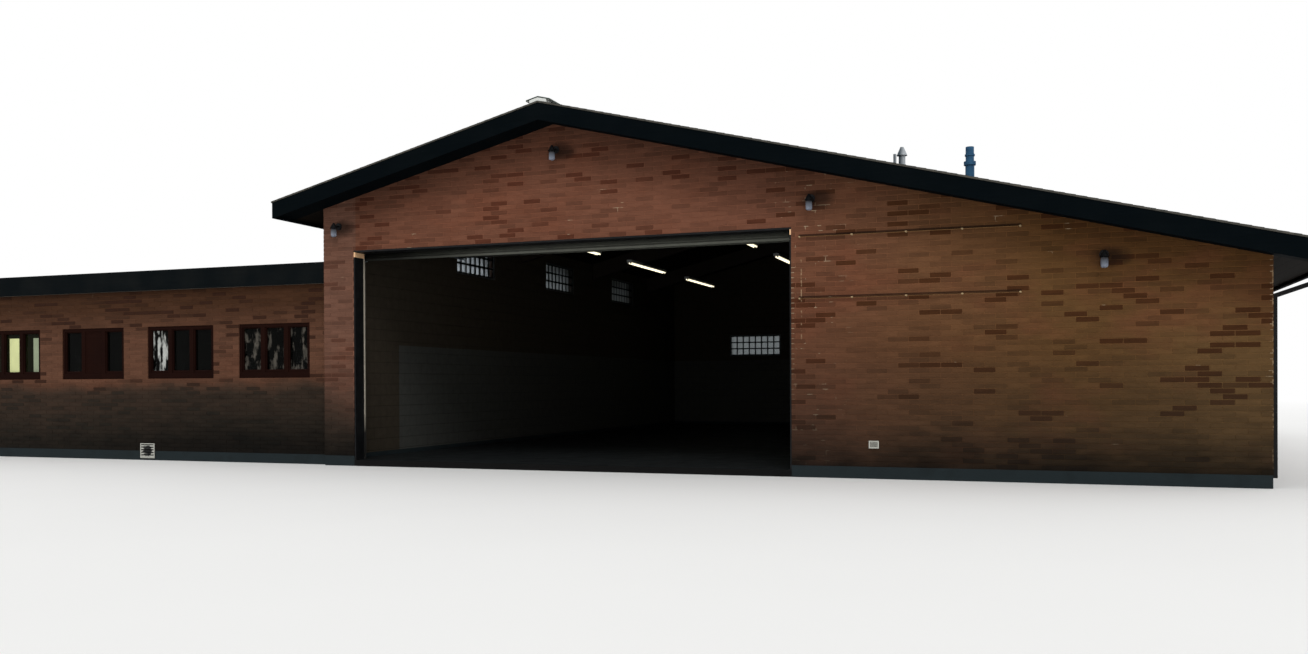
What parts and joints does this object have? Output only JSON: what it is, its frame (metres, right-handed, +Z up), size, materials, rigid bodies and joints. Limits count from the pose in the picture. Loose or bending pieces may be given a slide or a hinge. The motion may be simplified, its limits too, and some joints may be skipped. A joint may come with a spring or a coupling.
{
  "type": "suburban fire station building",
  "caption": "Single-storey brick fire station: a low-gabled vehicle bay with a wide overhead doorway and a flat-roofed wing with a row of windows.",
  "frame": {"origin": "on the flat ground, under the middle of the building's bounding box", "axes": "+X to the right along the front, +Y from the front into the building, +Z up"},
  "size_m": [29.044, 19.777, 5.952],
  "materials": {
    "brick": "orange-brown facing brick, unglazed",
    "concrete": "plain cast concrete",
    "dark_board": "black painted boards",
    "roofing": "grey mineral roofing on timber deck",
    "beam_timber": "varnished laminated timber",
    "window_frame": "dark red-brown paint",
    "window_glass": "clear window glass",
    "glass_block": "frosted glass blocks",
    "black_steel": "black paint",
    "block_timber": "bare orange timber",
    "pale_seal": "pale weather seal",
    "door_panel": "grey-green paint",
    "galvanised": "galvanised steel",
    "white_metal": "white paint",
    "lit_diffuser": "lit diffuser",
    "lantern_glass": "ribbed lantern glass",
    "bare_edge": "mill finish",
    "floor_board": "floor finish",
    "inner_steel": "grey paint"
  },
  "bodies": {
    "root": {"bay_foundation": "concrete", "bay_floor": "concrete", "wing_foundation": "concrete", "wing_floor": "floor_board", "door_pier": "brick", "wall_over_door": "brick", "front_wall_right": "brick", "bay_left_wall": "brick", "bay_right_wall": "brick", "bay_rear_wall": "brick", "wing_front_wall": "brick", "wing_rear_wall": "brick", "wing_end_wall": "brick", "roof_deck_left": "roofing", "roof_deck_right": "roofing", "gable_fascias": "dark_board", "eave_fascias": "dark_board", "gable_soffits": "dark_board", "eave_soffits": "dark_board", "ridge_vent": "black_steel", "roof_edge_trim": "bare_edge", "roof_beams": "beam_timber", "wing_roof": "roofing", "wing_fascia": "dark_board", "high_window_frames": "inner_steel", "high_window_glass": "glass_block", "wing_window_frames": "window_frame", "wing_window_glass": "window_glass", "door_lintel": "black_steel", "door_jambs": "black_steel", "door_head_blocks": "block_timber", "door_seals": "pale_seal", "overhead_door": "door_panel", "door_hinges": "galvanised", "door_tracks": "galvanised", "door_rollers": "galvanised", "door_spring_shaft": "galvanised", "light_bodies": "white_metal", "light_diffusers": "lit_diffuser", "wall_lanterns": "black_steel", "lantern_glass": "lantern_glass", "banner_wires": "galvanised", "wall_grilles": "white_metal", "vent_pipes": "white_metal", "flue": "galvanised", "right_gutter": "black_steel", "right_downspout": "black_steel"}
  },
  "joints": []
}
